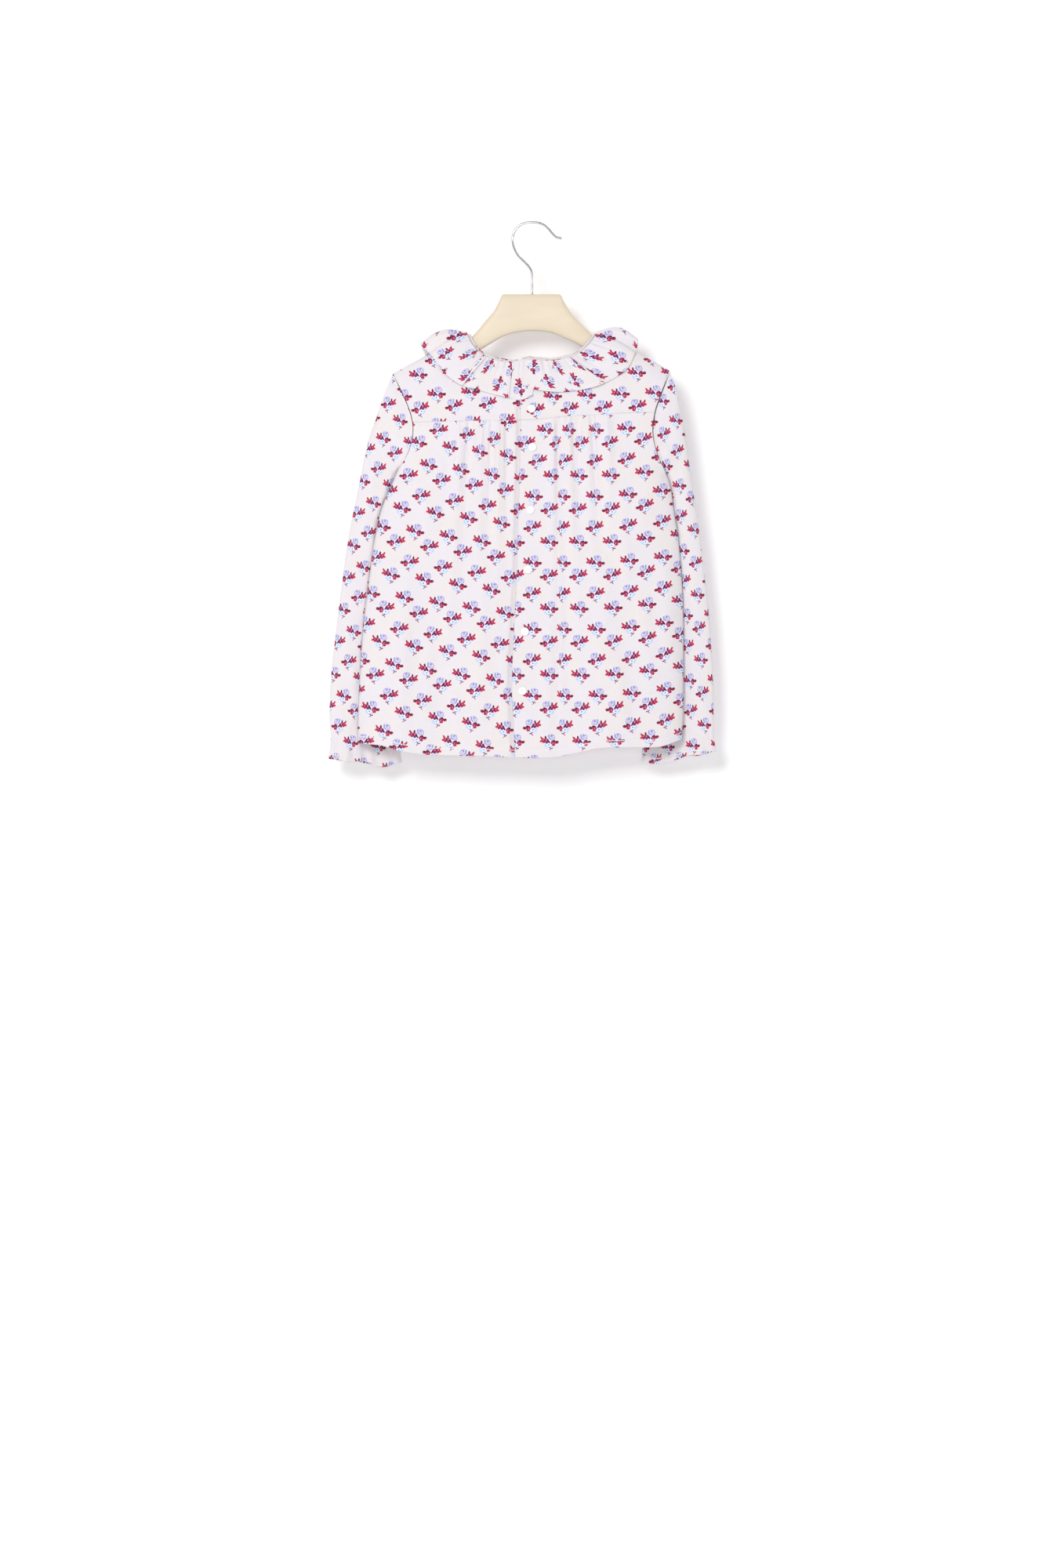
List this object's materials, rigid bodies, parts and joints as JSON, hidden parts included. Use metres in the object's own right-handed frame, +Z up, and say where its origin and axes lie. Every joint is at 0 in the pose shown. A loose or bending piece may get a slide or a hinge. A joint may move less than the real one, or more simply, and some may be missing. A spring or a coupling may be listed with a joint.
{
  "type": "child's blouse on a hanger",
  "caption": "Long-sleeved child's blouse with a gathered frill collar, back yoke, gathers and buttoned back, hanging on a shaped hanger with a wire hook.",
  "frame": {"origin": "inside top of the hook's crown, on the axis of the hook's shank, where the hook rests on a rail", "axes": "+Z up along the shank; +Y towards the garment's front; -Y towards its buttoned back, which faces the viewer; +X to the viewer's right"},
  "size_m": [0.495, 0.0552, 0.6916],
  "materials": {
    "cloth": "fine plain-weave cotton, off-white with small printed flower sprigs",
    "button": "pearly white, polished",
    "hanger": "cream paint, satin",
    "hook": "bright chrome-plated wire"
  },
  "bodies": {
    "root": {"hanger_body": "hanger", "hanger_hook": "hook", "front": "cloth", "back_left": "cloth", "back_right": "cloth", "yoke_left": "cloth", "yoke_right": "cloth", "sleeve_left": "cloth", "sleeve_right": "cloth", "collar_frill": "cloth", "neck_binding": "cloth", "button_1": "button", "button_2": "button", "button_3": "button", "button_4": "button", "button_5": "button", "button_6": "button"}
  },
  "joints": []
}
